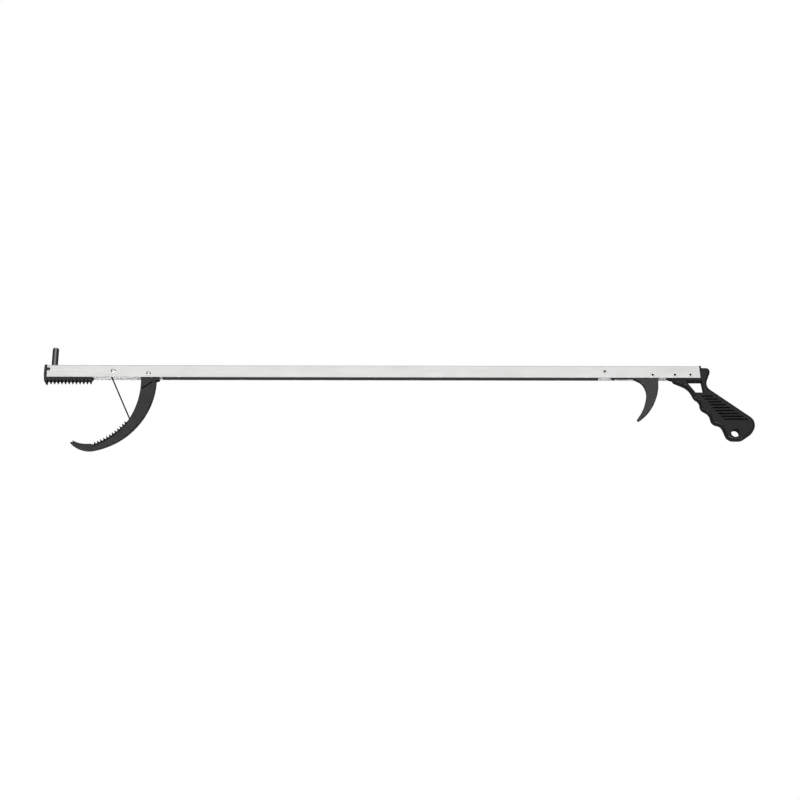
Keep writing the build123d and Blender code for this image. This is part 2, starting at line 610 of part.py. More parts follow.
# ---------------------------------------------------------------- trigger
with BuildPart() as trigger:
    with BuildSketch(SIDE):
        with BuildLine():
            ThreePointArc((-68.3, 34.0), (-70.1, 15.6), (-90.1, -12.2))
            ThreePointArc((-90.1, -12.2), (-91.9, -12.5), (-93.0, -11.2))
            ThreePointArc((-93.0, -11.2), (-85.1, 2.9), (-81.9, 16.2))
            ThreePointArc((-81.9, 16.2), (-83.7, 25.8), (-89.8, 33.2))
            Polyline(
                (-89.8, 33.2),
                (-98.0, ARM_BOTTOM_Z),
                (-98.0, ARM_TOP_Z + 1.4),
                (-68.3, 42.0),
                (-68.3, 34.0),
            )
        make_face()
    extrude(amount=TRIGGER_THICKNESS / 2, both=True)
    finger_edges = trigger.faces().filter_by(Axis.Y).edges().filter_by(GeomType.CIRCLE)
    fillet(finger_edges, radius=TRIGGER_EDGE)
    # arm that lies in the channel
    with BuildSketch(SIDE):
        with BuildLine():
            Polyline(
                (-90.0, ARM_BOTTOM_Z),
                (ARM_END_X, ARM_BOTTOM_Z),
                (ARM_END_X, ARM_TOP_Z),
                (-108.0, ARM_TOP_Z + 0.6),
                (-90.0, ARM_TOP_Z + 1.6),
                close=True,
            )
        make_face()
        fillet(vertices().sort_by(Axis.X)[:2], radius=2.0)
    extrude(amount=TRIGGER_THICKNESS / 2, both=True)
    # hub round the pivot
    with BuildSketch(SIDE):
        with Locations(TRIGGER_PIVOT):
            Circle(TRIGGER_HUB_RADIUS)
    extrude(amount=TRIGGER_HUB_WIDTH / 2, both=True)
    # bore for the pivot bush
    with BuildSketch(SIDE):
        with Locations(TRIGGER_PIVOT):
            Circle(BUSH_RADIUS + RUNNING_FIT)
    extrude(amount=TRIGGER_HUB_WIDTH, both=True, mode=Mode.SUBTRACT)
    # hole for the cord through the arm's end, with a pocket for its ferrule below
    with BuildSketch(Plane.XY.offset(ARM_BOTTOM_Z - 1)):
        with Locations((CORD_HOLE_X, 0)):
            Circle(CORD_RADIUS + 0.6)
    extrude(amount=10, mode=Mode.SUBTRACT)
    with BuildSketch(Plane.XY.offset(TRIGGER_FERRULE_TOP_Z + GAP)):
        with Locations((CORD_HOLE_X, 0)):
            Circle(FERRULE_RADIUS + GAP)
    extrude(amount=-10, mode=Mode.SUBTRACT)
save(trigger.part, "trigger")

# ---------------------------------------------------------------- handle
# corners of the outline from the channel's underside, down the finger side and up the back
outline = [
    (-53.4, CHANNEL_BOTTOM_Z - GAP),
    (-50.3, 32.5),
    (-33.4, 25.3),
    (-27.5, 13.5),
    (-21.2, 9.4),
    (-20.8, 0.8),
    (-10.2, -4.2),
    (-8.2, -16.1),
    (2.8, -18.1),
    (9.6, -35.2),
    (25.4, -35.3),
    (49.6, -18.3),
    (-15.2, 27.0),
    (-7.4, 48.4),
    (-19.2, 48.4),
    (-19.2, CHANNEL_TOP_Z + 0.1),
]
outline_radii = [2.5, 20.0, 9.0, 7.5, 7.5, 11.0, 8.4, 8.0, 10.0, 11.0, 12.0, 9.0, 4.6, 0.6]
flange_corner = (CHANNEL_BACK_X - BACK_SKEW + GAP, CHANNEL_TOP_Z + 0.1)
flange_foot = (CHANNEL_BACK_X + BACK_SKEW + GAP, CHANNEL_BOTTOM_Z - GAP)

with BuildPart() as handle:
    with BuildSketch(SIDE):
        with BuildLine():
            FilletPolyline(*outline, radius=outline_radii)
            Polyline(outline[-1], flange_corner, flange_foot, outline[0])
        make_face()
    extrude(amount=HANDLE_THICKNESS / 2, both=True)
    # rounded edges all round the grip, below the neck
    side_edges = handle.faces().filter_by(Axis.Y).edges()
    grip_edges = side_edges.filter_by(lambda edge: edge.bounding_box().max.Z < HANDLE_EDGE_TOP_Z)
    fillet(grip_edges, radius=HANDLE_EDGE)
    # window between the grip and the channel
    with BuildSketch(SIDE):
        with BuildLine():
            Polyline((-37.6, 33.5), (-18.8, 33.5), (-16.1, 19.3), (-26.2, 19.3), close=True)
        make_face()
        fillet(vertices(), radius=0.8)
    extrude(amount=HANDLE_THICKNESS, both=True, mode=Mode.SUBTRACT)
    # grooves across both sides of the grip
    for side_y in (HANDLE_THICKNESS / 2, -HANDLE_THICKNESS / 2):
        with BuildSketch(SIDE.offset(side_y)):
            for groove in range(GROOVES):
                groove_z = GROOVE_TOP_Z - groove * GROOVE_PITCH
                left_x = GROOVE_LEFT_X + groove * GROOVE_LEFT_STEP
                right_x = back_line_x(groove_z) - GROOVE_MARGIN
                with Locations(((left_x + right_x) / 2, groove_z)):
                    SlotOverall(right_x - left_x, GROOVE_HEIGHT)
        extrude(amount=GROOVE_DEPTH, both=True, mode=Mode.SUBTRACT)
    # hole to hang it up by
    with BuildSketch(SIDE):
        with Locations(HANG_HOLE):
            Circle(HANG_HOLE_RADIUS)
    extrude(amount=HANDLE_THICKNESS, both=True, mode=Mode.SUBTRACT)
    # tongue inside the channel, held by the two rivets
    with BuildSketch(SIDE):
        with BuildLine():
            Polyline(
                (HANDLE_PLUG_FRONT_X + 4, CHANNEL_BOTTOM_Z - 1),
                (flange_foot[0] + 0.6, CHANNEL_BOTTOM_Z - 1),
                (flange_corner[0] + 0.6, INNER_TOP_Z - GAP),
                (HANDLE_PLUG_FRONT_X + 8, INNER_TOP_Z - GAP),
                (HANDLE_PLUG_FRONT_X, INNER_TOP_Z - 6),
                (HANDLE_PLUG_FRONT_X, CHANNEL_BOTTOM_Z + 1),
                close=True,
            )
        make_face()
    extrude(amount=INNER_WIDTH / 2 - GAP, both=True)
    with BuildSketch(SIDE):
        with Locations(*HANDLE_RIVETS):
            Circle(SHANK_RADIUS + GAP)
    extrude(amount=HANDLE_THICKNESS, both=True, mode=Mode.SUBTRACT)
save(handle.part, "handle")


# ---------------------------------------------------------------- cord and its ferrules
def cord_tube(points, bend_radii):
    """A stretch of cord through the points of the side view, round at its corners."""
    with BuildPart() as tube:
        with BuildLine(SIDE) as way:
            if bend_radii:
                FilletPolyline(*points, radius=bend_radii)
            else:
                Line(*points)
        with BuildSketch(Plane(origin=way.line @ 0, z_dir=way.line % 0)):
            Circle(CORD_RADIUS)
        sweep(path=way.line)
    return tube.part


def ferrule(start, direction):
    """A crimped sleeve on the cord's end, waisted in the middle."""
    place = Plane(origin=start, z_dir=direction)
    with BuildPart() as crimp:
        with BuildSketch(place):
            Circle(FERRULE_RADIUS)
        extrude(amount=FERRULE_LENGTH)
        chamfer(crimp.faces().filter_by(GeomType.PLANE).edges(), length=0.4)
    return crimp.part


save(cord_tube([CORD_TOUCH, CORD_ENTRY], None), "cord_jaw_run")
save(cord_tube([CORD_ENTRY, CORD_END_IN_JAW], None), "cord_jaw_end")
save(
    cord_tube([CORD_TOUCH, FRONT_CORNER, REAR_CORNER, REAR_TOUCH], [CORD_BEND * 0.999, CORD_BEND * 0.999]),
    "cord_channel_run",
)
save(
    cord_tube([REAR_TOUCH, ARM_CORNER, (CORD_HOLE_X, TRIGGER_FERRULE_TOP_Z)], [1.4]),
    "cord_trigger_run",
)
save(ferrule(side_point(CORD_END_IN_JAW), side_point(CORD_ENTRY) - side_point(CORD_TOUCH)), "jaw_ferrule")
save(ferrule((CORD_HOLE_X, 0, TRIGGER_FERRULE_TOP_Z), (0, 0, -1)), "trigger_ferrule")
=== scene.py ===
"""Looks of the reacher grabber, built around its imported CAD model.

Metres, in the CAD's own frame: +X runs from the jaws to the grip and +Z is up.
"""

import json
import math

import bpy
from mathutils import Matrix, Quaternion, Vector

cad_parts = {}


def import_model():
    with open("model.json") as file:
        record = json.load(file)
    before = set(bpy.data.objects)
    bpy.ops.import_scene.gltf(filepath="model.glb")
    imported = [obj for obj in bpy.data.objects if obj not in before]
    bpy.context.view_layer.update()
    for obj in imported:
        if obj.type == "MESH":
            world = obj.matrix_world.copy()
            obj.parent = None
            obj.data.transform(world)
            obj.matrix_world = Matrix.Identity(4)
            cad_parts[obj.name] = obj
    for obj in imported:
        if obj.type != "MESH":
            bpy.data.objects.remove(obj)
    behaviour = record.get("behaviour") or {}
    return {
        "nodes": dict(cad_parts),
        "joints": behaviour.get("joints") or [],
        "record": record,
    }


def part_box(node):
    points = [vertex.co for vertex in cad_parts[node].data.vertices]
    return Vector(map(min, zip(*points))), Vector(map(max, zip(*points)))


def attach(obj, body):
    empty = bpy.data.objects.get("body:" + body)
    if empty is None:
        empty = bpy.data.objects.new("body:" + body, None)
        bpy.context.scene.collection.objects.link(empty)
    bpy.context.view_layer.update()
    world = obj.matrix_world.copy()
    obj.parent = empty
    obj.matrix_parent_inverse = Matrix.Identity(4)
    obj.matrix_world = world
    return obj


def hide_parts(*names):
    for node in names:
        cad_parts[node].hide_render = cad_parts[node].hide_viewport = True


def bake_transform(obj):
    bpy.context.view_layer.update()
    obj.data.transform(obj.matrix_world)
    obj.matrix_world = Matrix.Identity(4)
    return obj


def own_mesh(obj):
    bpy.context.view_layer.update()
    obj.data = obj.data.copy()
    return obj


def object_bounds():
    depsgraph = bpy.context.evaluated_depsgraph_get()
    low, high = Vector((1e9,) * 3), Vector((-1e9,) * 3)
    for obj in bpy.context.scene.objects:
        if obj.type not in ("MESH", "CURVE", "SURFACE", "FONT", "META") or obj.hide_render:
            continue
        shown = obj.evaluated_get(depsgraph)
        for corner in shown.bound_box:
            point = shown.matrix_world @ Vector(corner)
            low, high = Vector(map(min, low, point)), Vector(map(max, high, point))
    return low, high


MM = 0.001

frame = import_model()
nodes = frame["nodes"]
cad_low, cad_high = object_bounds()

# ---------------------------------------------------------------- places taken from the frame
OBJECT_CENTRE = (cad_low + cad_high) / 2
JOINTS = {joint["name"]: joint for joint in frame["joints"]}
SLOT_OF = {part["node"]: part["material_slot"] for part in frame["record"]["subparts"]}
CHANNEL_HALF_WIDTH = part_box("channel")[1].y
HANDLE_HALF_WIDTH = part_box("handle")[1].y

# ---------------------------------------------------------------- camera
# straight at the object's side and from a little below
CAMERA_LENS = 128.2
CAMERA_SENSOR = 36.0
CAMERA_CLIP = (0.01, 200.0)
CAMERA_DISTANCE = 3.256
CAMERA_ELEVATION = -13.0
CAMERA_ROLL = 0.1
CAMERA_AIM = OBJECT_CENTRE + Vector((1.4 * MM, 0, -0.5 * MM))

# ---------------------------------------------------------------- floor
# the camera sees it white, while the object gets less light from it
FLOOR_DROP = 0.75
FLOOR_RADIUS = 8.0
FLOOR_FADE_START = FLOOR_RADIUS * 0.4
FLOOR_GLOW = 0.5
FLOOR_SHED = 0.22
FLOOR_DARK_WEDGE = (math.radians(14), math.radians(32))  # the part behind the object sheds no light
FLOOR_SHEDDING_GREY = 0.30
FLOOR_GREYS = (0.88, 0.90)
FLOOR_CLOUDS = 0.7

# ---------------------------------------------------------------- light
# radiances are shares of the white that the camera sees
# a span is of a direction's Y or Z, from no light to the most
WORLD_ALL_ROUND = 0.14
WORLD_FRONT = 0.4
WORLD_FRONT_SPAN = (-0.6, -0.97)
WORLD_HORIZON_SPAN = (-0.12, 0.08)
WORLD_ABOVE = 0.45
WORLD_ABOVE_SPAN = (0.25, 0.9)
WORLD_TINT = (1, 0.996, 0.988, 1)

# name: place from the object's middle, width and height, radiance
SOFTBOXES = {
    "front_softbox": ((-0.2, -3.0, 0.85), (3.0, 1.9), 0.67),
    "low_softbox": ((-0.1, -0.74, -0.84), (2.4, 0.16), 44.0),
    "top_softbox": ((0.2, 0.4, 2.2), (2.4, 1.4), 0.7),
    "back_softbox": ((0.5, 2.6, 1.2), (2.0, 1.0), 0.6),
}

# ---------------------------------------------------------------- marks of making
# how many a metre, in all directions or along X, Y and Z
DRAWN_LINES = (6, 2600, 2600)
DRAWN_HAIRLINES = (14, 9000, 9000)
ANODISING_CLOUDS = 18.0
HANDLING_MARKS = (40, 120, 120)
MOULD_GRAIN = 2600.0
MOULD_FLOW = (60, 60, 150)
MOULD_SMUDGES = 34.0
MOULD_SCUFFS = (700, 90, 160)
METAL_SCRATCHES = (900, 5200, 900)
METAL_CLOUDS = 420.0
NYLON_CLOUDS = 300.0
CORD_FILAMENTS = (5000, 9000, 9000)
CORD_PATCHES = 900.0

# where most of a noise's values lie, or those that show
NOISE_SPAN = (0.3, 0.7)
FLOW_SPAN = (0.32, 0.68)
HANDLING_SPAN = (0.35, 0.75)
SCUFF_SPAN = (0.66, 0.80)

# how wear, recesses and the dark bores differ from a plain surface; the darkness of recesses and bores is
# painted shade, and the paler inside is painted light
WORN_MOST = 0.55
WORN_PALER = 1.7
WORN_DULLER = 0.12
RECESS_PAINTED_SHADE = 0.3
RECESS_DULLER = 0.3
GRAIN_DULLER = 0.1
INSIDE_DULLER = 0.35
INSIDE_PAINTED_LIGHT = 0.95
BORE_DULLER = 0.4
BORE_PAINTED_SHADE = (0.035, 0.034, 0.032)

BEVEL_SAMPLES = 4
MASK_EDGE = 0.2 * MM
INNER_HALF_WIDTH = CHANNEL_HALF_WIDTH - 1.0 * MM
BORE_SPAN = (CHANNEL_HALF_WIDTH - 0.3 * MM, CHANNEL_HALF_WIDTH + 0.05 * MM)
PARTING_WIDTH = 0.35 * MM
PARTING_HEIGHT = 0.05 * MM
FLOW_HEIGHT = 0.05 * MM

# half the width of what lies deeper than the side faces, and a little more: nearer the middle plane than
# this, edges, grooves and recesses get painted shade
JAW_CORE = 5.2 * MM
# the jaw's painted shade is kept inside this band with the teeth, as a painted dark band along them
JAW_TEETH_ROUND = (-743.7 * MM, 42.8 * MM, 92.0 * MM)  # x, z and radius of the band with the teeth
TRIGGER_CORE = 4.3 * MM
HANDLE_CORE = HANDLE_HALF_WIDTH - 0.9 * MM

# ---------------------------------------------------------------- cord
CORD_RADIUS = 0.85 * MM
BRAID_PITCH = 3.2 * MM
BRAID_STRANDS = 8
BRAID_DEPTH = 0.09 * MM
BRAID_FULLNESS = 0.7  # below 1 the strands are fuller than a cosine
RING_STEP = BRAID_PITCH / 14
RING_SIDES = 20
GUIDE_INSET = (0.5 * CORD_RADIUS, 0.8 * CORD_RADIUS)  # X and Z, from the corner of the trigger cord's box
STRAIGHT_AT_TRIGGER = 4 * CORD_RADIUS

# ---------------------------------------------------------------- torsion spring
SPRING_WIRE = 1.0 * MM
SPRING_TURNS = 4
SPRING_STEPS = 32 * SPRING_TURNS
SPRING_START = math.radians(70)


# ---------------------------------------------------------------- node helpers
class Graph:
    """A node tree, and short ways to add nodes to it."""

    def __init__(self, tree):
        self.tree = tree
        self.tree.nodes.clear()

    def add(self, kind, **settings):
        """A new node, with its properties set."""
        node = self.tree.nodes.new(kind)
        for name, value in settings.items():
            setattr(node, name, value)
        return node

    def link(self, source, target):
        self.tree.links.new(source, target)

    def math(self, operation, first, second):
        node = self.add("ShaderNodeMath", operation=operation)
        for socket, value in zip(node.inputs, (first, second)):
            if isinstance(value, (int, float)):
                socket.default_value = value
            else:
                self.link(value, socket)
        return node.outputs["Value"]

    def sum(self, first, *others):
        for other in others:
            first = self.math("ADD", first, other)
        return first

    def spread(self, value, low, high, span, interpolation="LINEAR"):
        """The value, moved from a (start, end) span to low..high, and no further."""
        node = self.add("ShaderNodeMapRange", interpolation_type=interpolation)
        for socket, number in zip(("From Min", "From Max", "To Min", "To Max"), (*span, low, high)):
            node.inputs[socket].default_value = number
        self.link(value, node.inputs["Value"])
        return node.outputs["Result"]

    def parts(self, vector):
        """The X, Y and Z of a vector."""
        node = self.add("ShaderNodeSeparateXYZ")
        self.link(vector, node.inputs["Vector"])
        return node.outputs


class Shader(Graph):
    """A material with one Principled shader."""

    def __init__(self, name):
        self.material = bpy.data.materials.new(name)
        self.material.use_nodes = True
        super().__init__(self.material.node_tree)
        self.principled = self.add("ShaderNodeBsdfPrincipled")
        self.link(self.principled.outputs["BSDF"], self.add("ShaderNodeOutputMaterial").inputs["Surface"])
        self.place = self.add("ShaderNodeTexCoord").outputs["Object"]

    def set(self, **sockets):
        """Fixed values on the Principled shader. Spaces in a socket's name are written as underscores."""
        for name, value in sockets.items():
            self.principled.inputs[name.replace("_", " ")].default_value = value

    def steer(self, **sockets):
        """Links to the Principled shader, with names as in set."""
        for name, source in sockets.items():
            self.link(source, self.principled.inputs[name.replace("_", " ")])

    def noise(self, frequency, detail, rough=0.6):
        """Noise with one frequency, or with one along each axis."""
        node = self.add("ShaderNodeTexNoise")
        node.inputs["Detail"].default_value = detail
        node.inputs["Roughness"].default_value = rough
        if isinstance(frequency, tuple):
            mapping = self.add("ShaderNodeMapping")
            mapping.inputs["Scale"].default_value = frequency
            self.link(self.place, mapping.inputs["Vector"])
            self.link(mapping.outputs["Vector"], node.inputs["Vector"])
            node.inputs["Scale"].default_value = 1.0
        else:
            self.link(self.place, node.inputs["Vector"])
            node.inputs["Scale"].default_value = frequency
        return node.outputs["Fac"]

    def mean(self, first, second):
        return self.sum(self.math("MULTIPLY", first, 0.5), self.math("MULTIPLY", second, 0.5))

    def ramp(self, value, first, second, span=NOISE_SPAN):
        """A colour that goes from the first to the second over a span of the value."""
        node = self.add("ShaderNodeValToRGB")
        for element, place, shade in zip(node.color_ramp.elements, span, (first, second)):
            element.position = place
            element.color = (*shade, 1.0)
        self.link(value, node.inputs["Fac"])
        return node.outputs["Color"]

    def blend(self, share, first, second):
        """A colour between two, by a share from 0 to 1."""
        node = self.add("ShaderNodeMix", data_type="RGBA")
        self.link(share, node.inputs["Factor"])
        for socket, value in ((node.inputs["A"], first), (node.inputs["B"], second)):
            if isinstance(value, tuple):
                socket.default_value = (*value, 1.0)
            else:
                self.link(value, socket)
        return node.outputs["Result"]

    def near_middle(self, start, end):
        """1 nearer than start to the object's middle plane, and 0 beyond end."""
        off_plane = self.math("ABSOLUTE", self.parts(self.place)["Y"], 0.0)
        return self.spread(off_plane, 1.0, 0.0, (start, end))

    def near_axis(self, x, z, radius):
        """1 inside a cylinder across the object, and 0 outside it."""
        flat = self.add("ShaderNodeVectorMath", operation="MULTIPLY")
        self.link(self.place, flat.inputs[0])
        flat.inputs[1].default_value = (1, 0, 1)
        distance = self.add("ShaderNodeVectorMath", operation="DISTANCE")
        self.link(flat.outputs["Vector"], distance.inputs[0])
        distance.inputs[1].default_value = (x, 0, z)
        return self.spread(distance.outputs["Value"], 1.0, 0.0, (radius, radius + MASK_EDGE))

    def bump(self, heights, edge=0.0):
        """Bumps one over the other, from (height, depth in metres) pairs, over edges rounded to a radius."""
        normal = None
        if edge:
            bevel = self.add("ShaderNodeBevel", samples=BEVEL_SAMPLES)
            bevel.inputs["Radius"].default_value = edge
            normal = bevel.outputs["Normal"]
        for height, depth in heights:
            node = self.add("ShaderNodeBump")
            node.inputs["Strength"].default_value = 1.0
            node.inputs["Distance"].default_value = depth
            self.link(height, node.inputs["Height"])
            if normal is not None:
                self.link(normal, node.inputs["Normal"])
            normal = node.outputs["Normal"]
        self.steer(Normal=normal)


def grey(value, blue=1.0):
    """A grey, with its blue raised by a factor."""
    return (value, value, value * blue)


# ---------------------------------------------------------------- materials
def drawn_aluminium():
    """Satin anodised extrusion: fine lines along its length, a soft cloudiness, and an inside painted pale
    and matt, as painted light from below.
    """
    m = Shader("drawn_aluminium")
    lines = m.noise(DRAWN_LINES, detail=3)
    hairlines = m.noise(DRAWN_HAIRLINES, detail=2)
    clouds = m.noise(ANODISING_CLOUDS, detail=5)
    handling = m.noise(HANDLING_MARKS, detail=6, rough=0.7)
    # painted light: the channel's inner walls are painted pale and less metallic, standing in for the light
    # from below that falls on them
    inside = m.near_middle(INNER_HALF_WIDTH, INNER_HALF_WIDTH + MASK_EDGE)
    outside = m.ramp(m.mean(lines, clouds), (0.70, 0.698, 0.694), (0.80, 0.798, 0.794))
    grain = m.spread(lines, 0.27, 0.40, NOISE_SPAN)
    drift = m.sum(m.spread(handling, -0.03, 0.06, HANDLING_SPAN), m.math("MULTIPLY", inside, INSIDE_DULLER))
    m.steer(
        Base_Color=m.blend(inside, outside, grey(INSIDE_PAINTED_LIGHT)),
        Metallic=m.spread(inside, 0.92, 0.08, (0.0, 1.0)),
        Roughness=m.sum(grain, drift),
    )
    m.set(Anisotropic=0.35)
    m.bump([(lines, 0.006 * MM), (hairlines, 0.004 * MM)], edge=0.15 * MM)
    return m.material


def moulded_plastic(name, dark, light, shine, grain, gloss=0.3, edge=0.3 * MM, core=0.0, core_round=None):
    """Black moulding: spark-eroded grain, flow marks, scuffs, a drift of gloss, and a parting line.

    Nearer to the middle plane than core it is duller, and darker by painted shade on its edges, grooves
    and recesses. With a core_round, (x, z, radius), that holds only inside the cylinder.
    """
    m = Shader(name)
    grains = m.noise(MOULD_GRAIN, detail=3, rough=0.55)
    flow = m.noise(MOULD_FLOW, detail=4, rough=0.65)
    smudges = m.noise(MOULD_SMUDGES, detail=6, rough=0.7)
    scuffs = m.noise(MOULD_SCUFFS, detail=7, rough=0.75)
    worn = m.spread(scuffs, 0.0, WORN_MOST, SCUFF_SPAN)
    # painted shade: nearer the middle plane than core, the edges, grooves and recesses are painted darker
    painted_shade = m.near_middle(core - MASK_EDGE, core)
    if core_round:
        painted_shade = m.math("MULTIPLY", painted_shade, m.near_axis(*core_round))
    body = m.ramp(m.mean(flow, grains), grey(dark, blue=1.04), grey(light, blue=1.03), FLOW_SPAN)
    face = m.blend(worn, body, grey(light * WORN_PALER))
    duller = m.sum(
        m.spread(smudges, -0.05, 0.07, NOISE_SPAN),
        m.math("MULTIPLY", worn, WORN_DULLER),
        m.math("MULTIPLY", painted_shade, RECESS_DULLER),
    )
    m.steer(
        Base_Color=m.blend(painted_shade, face, grey(dark * RECESS_PAINTED_SHADE)),
        Roughness=m.sum(m.spread(grains, shine, shine + GRAIN_DULLER, NOISE_SPAN), duller),
    )
    m.set(Specular_IOR_Level=gloss, IOR=1.5)
    parting = m.near_middle(PARTING_WIDTH / 2, PARTING_WIDTH)
    m.bump([(flow, FLOW_HEIGHT), (grains, grain), (parting, PARTING_HEIGHT)], edge=edge)
    return m.material


def turned_metal(name, dark, light, smooth, rough, scratch, bore_painted_dark=False):
    """Bright metal with fine scratches. A dark bore, near the middle plane, is painted dark and matt as
    painted shade.
    """
    m = Shader(name)
    scratches = m.noise(METAL_SCRATCHES, detail=3)
    clouds = m.noise(METAL_CLOUDS, detail=4)
    shade = m.ramp(clouds, dark, light)
    roughness = m.spread(scratches, smooth, rough, NOISE_SPAN)
    if bore_painted_dark:
        # painted shade: the bore inside each rivet is painted near black and matt, where shade falls
        bore = m.near_middle(*BORE_SPAN)
        shade = m.blend(bore, shade, BORE_PAINTED_SHADE)
        roughness = m.sum(roughness, m.math("MULTIPLY", bore, BORE_DULLER))
        m.steer(Metallic=m.spread(bore, 1.0, 0.0, (0.0, 1.0)))
    else:
        m.set(Metallic=1.0)
    m.steer(Base_Color=shade, Roughness=roughness)
    m.bump([(scratches, scratch), (clouds, scratch * 2)], edge=0.1 * MM)
    return m.material


def natural_nylon():
    """Translucent off-white nylon."""
    m = Shader("natural_nylon")
    clouds = m.noise(NYLON_CLOUDS, detail=4)
    m.steer(
        Base_Color=m.ramp(clouds, (0.62, 0.60, 0.54), (0.72, 0.70, 0.65)),
        Roughness=m.spread(clouds, 0.42, 0.55, NOISE_SPAN),
    )
    m.set(Subsurface_Weight=0.15, Subsurface_Scale=2 * MM)
    m.bump([(clouds, 0.02 * MM)])
    return m.material


def braided_fibre():
    """Tightly braided black polyester: its strands are in the mesh, its filaments here."""
    m = Shader("braided_fibre")
    filaments = m.noise(CORD_FILAMENTS, detail=3)
    patches = m.noise(CORD_PATCHES, detail=3)
    m.steer(
        Base_Color=m.ramp(patches, (0.004, 0.004, 0.004), (0.009, 0.009, 0.010)),
        Roughness=m.spread(filaments, 0.55, 0.8, NOISE_SPAN),
    )
    m.set(Sheen_Weight=0.05, Sheen_Roughness=0.5, Specular_IOR_Level=0.15)
    m.bump([(filaments, 0.03 * MM)])
    return m.material


MATERIALS = {
    "anodised_aluminium": drawn_aluminium(),
    # jaw, trigger and handle: their core sets where painted shade darkens edges, grooves and recesses
    "jaw_plastic": moulded_plastic(
        "jaw_plastic", dark=0.027, light=0.035, shine=0.40, grain=0.012 * MM,
        edge=1.1 * MM, core=JAW_CORE, core_round=JAW_TEETH_ROUND,
    ),
    "trigger_plastic": moulded_plastic(
        "trigger_plastic", dark=0.038, light=0.047, shine=0.38, grain=0.012 * MM,
        gloss=0.42, edge=0.8 * MM, core=TRIGGER_CORE,
    ),
    "handle_plastic": moulded_plastic(
        "handle_plastic", dark=0.005, light=0.008, shine=0.24, grain=0.010 * MM, core=HANDLE_CORE,
    ),
    "strip_plastic": moulded_plastic(
        "strip_plastic", dark=0.034, light=0.044, shine=0.5, grain=0.008 * MM, gloss=0.2, edge=0.2 * MM,
    ),
    "horn_metal": turned_metal(
        "black_anodising", (0.17, 0.17, 0.175), (0.23, 0.23, 0.235),
        smooth=0.15, rough=0.22, scratch=0.002 * MM,
    ),
    "magnet_metal": turned_metal(
        "nickel_plate", (0.60, 0.59, 0.57), (0.70, 0.69, 0.66),
        smooth=0.12, rough=0.24, scratch=0.002 * MM,
    ),
    "rivet_metal": turned_metal(
        "rivet_metal", (0.78, 0.78, 0.77), (0.88, 0.88, 0.87),
        smooth=0.14, rough=0.26, scratch=0.003 * MM, bore_painted_dark=True,
    ),
    "nylon": natural_nylon(),
    "bush_steel": turned_metal(
        "turned_steel", (0.48, 0.48, 0.47), (0.60, 0.60, 0.59),
        smooth=0.22, rough=0.36, scratch=0.003 * MM,
    ),
    "spring_steel": turned_metal(
        "spring_steel", (0.34, 0.34, 0.34), (0.46, 0.46, 0.46),
        smooth=0.25, rough=0.42, scratch=0.003 * MM,
    ),
    "ferrule_metal": turned_metal(
        "blackened_metal", (0.05, 0.05, 0.05), (0.10, 0.10, 0.10),
        smooth=0.35, rough=0.5, scratch=0.004 * MM,
    ),
    "cord_fibre": braided_fibre(),
}


def dress(piece, slot):
    """Gives a piece one material."""
    piece.data.materials.clear()
    piece.data.materials.append(MATERIALS[slot])


for node_name, node in nodes.items():
    dress(node, SLOT_OF[node_name])


# ---------------------------------------------------------------- braided cord
def in_scene(name, data):
    """A new object in the scene."""
    made = bpy.data.objects.new(name, data)
    bpy.context.scene.collection.objects.link(made)
    return made


def new_mesh(name, points, faces):
    mesh = bpy.data.meshes.new(name)
    mesh.from_pydata(points, [], faces)
    mesh.validate()
    mesh.shade_smooth()
    return in_scene(name, mesh)


def braid_lift(along, around):
    """How far the braid's surface stands out, 0 to 1, at a length and an angle round the cord."""
    turn = math.tau * along / BRAID_PITCH
    one_way = math.cos(BRAID_STRANDS / 2 * around + turn * 2)
    other_way = math.cos(BRAID_STRANDS / 2 * around - turn * 2)
    return max(one_way, other_way, 0.0) ** BRAID_FULLNESS


def braided_tube(name, path):
    """A braided tube through the points of a path in the XZ plane, with closed ends."""
    lengths = [0.0]
    for before, after in zip(path, path[1:]):
        lengths.append(lengths[-1] + (after - before).length)
    rings = max(2, int(lengths[-1] / RING_STEP))
    across = Vector((0, 1, 0))
    points, faces = [], []
    span = 0
    for ring in range(rings + 1):
        along = lengths[-1] * ring / rings
        while span < len(path) - 2 and lengths[span + 1] < along:
            span += 1
        share = (along - lengths[span]) / (lengths[span + 1] - lengths[span])
        centre = path[span].lerp(path[span + 1], share)
        behind = max(span - 1, 0) if share < 0.5 else span  # just past a bend the rings still lean
        up = (path[span + 1] - path[behind]).normalized().cross(across).normalized()
        for side in range(RING_SIDES):
            angle = math.tau * side / RING_SIDES
            radius = CORD_RADIUS - BRAID_DEPTH * (1 - braid_lift(along, angle))
            points.append(centre + (across * math.cos(angle) + up * math.sin(angle)) * radius)
    for ring in range(rings):
        for side in range(RING_SIDES):
            first = ring * RING_SIDES + side
            second = ring * RING_SIDES + (side + 1) % RING_SIDES
            faces.append((first, second, second + RING_SIDES, first + RING_SIDES))
    faces.append(tuple(reversed(range(RING_SIDES))))
    faces.append(tuple(range(rings * RING_SIDES, (rings + 1) * RING_SIDES)))
    piece = new_mesh(name, points, faces)
    dress(piece, "cord_fibre")
    return piece


def jaw_cord():
    """The cord from the front guide to the hooked jaw. It swings about the guide with the cord_swing body."""
    low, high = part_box("cord_jaw_run")
    top = Vector((low.x, 0, high.z))
    bottom = Vector((high.x, 0, low.z))
    run = (bottom - top).normalized()
    inset = CORD_RADIUS * Vector((abs(run.z), 0, -abs(run.x)))
    top += inset
    bottom -= inset
    piece = braided_tube("jaw_cord", [top, bottom])
    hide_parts("cord_jaw_run")
    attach(piece, "cord_swing")
    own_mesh(piece)


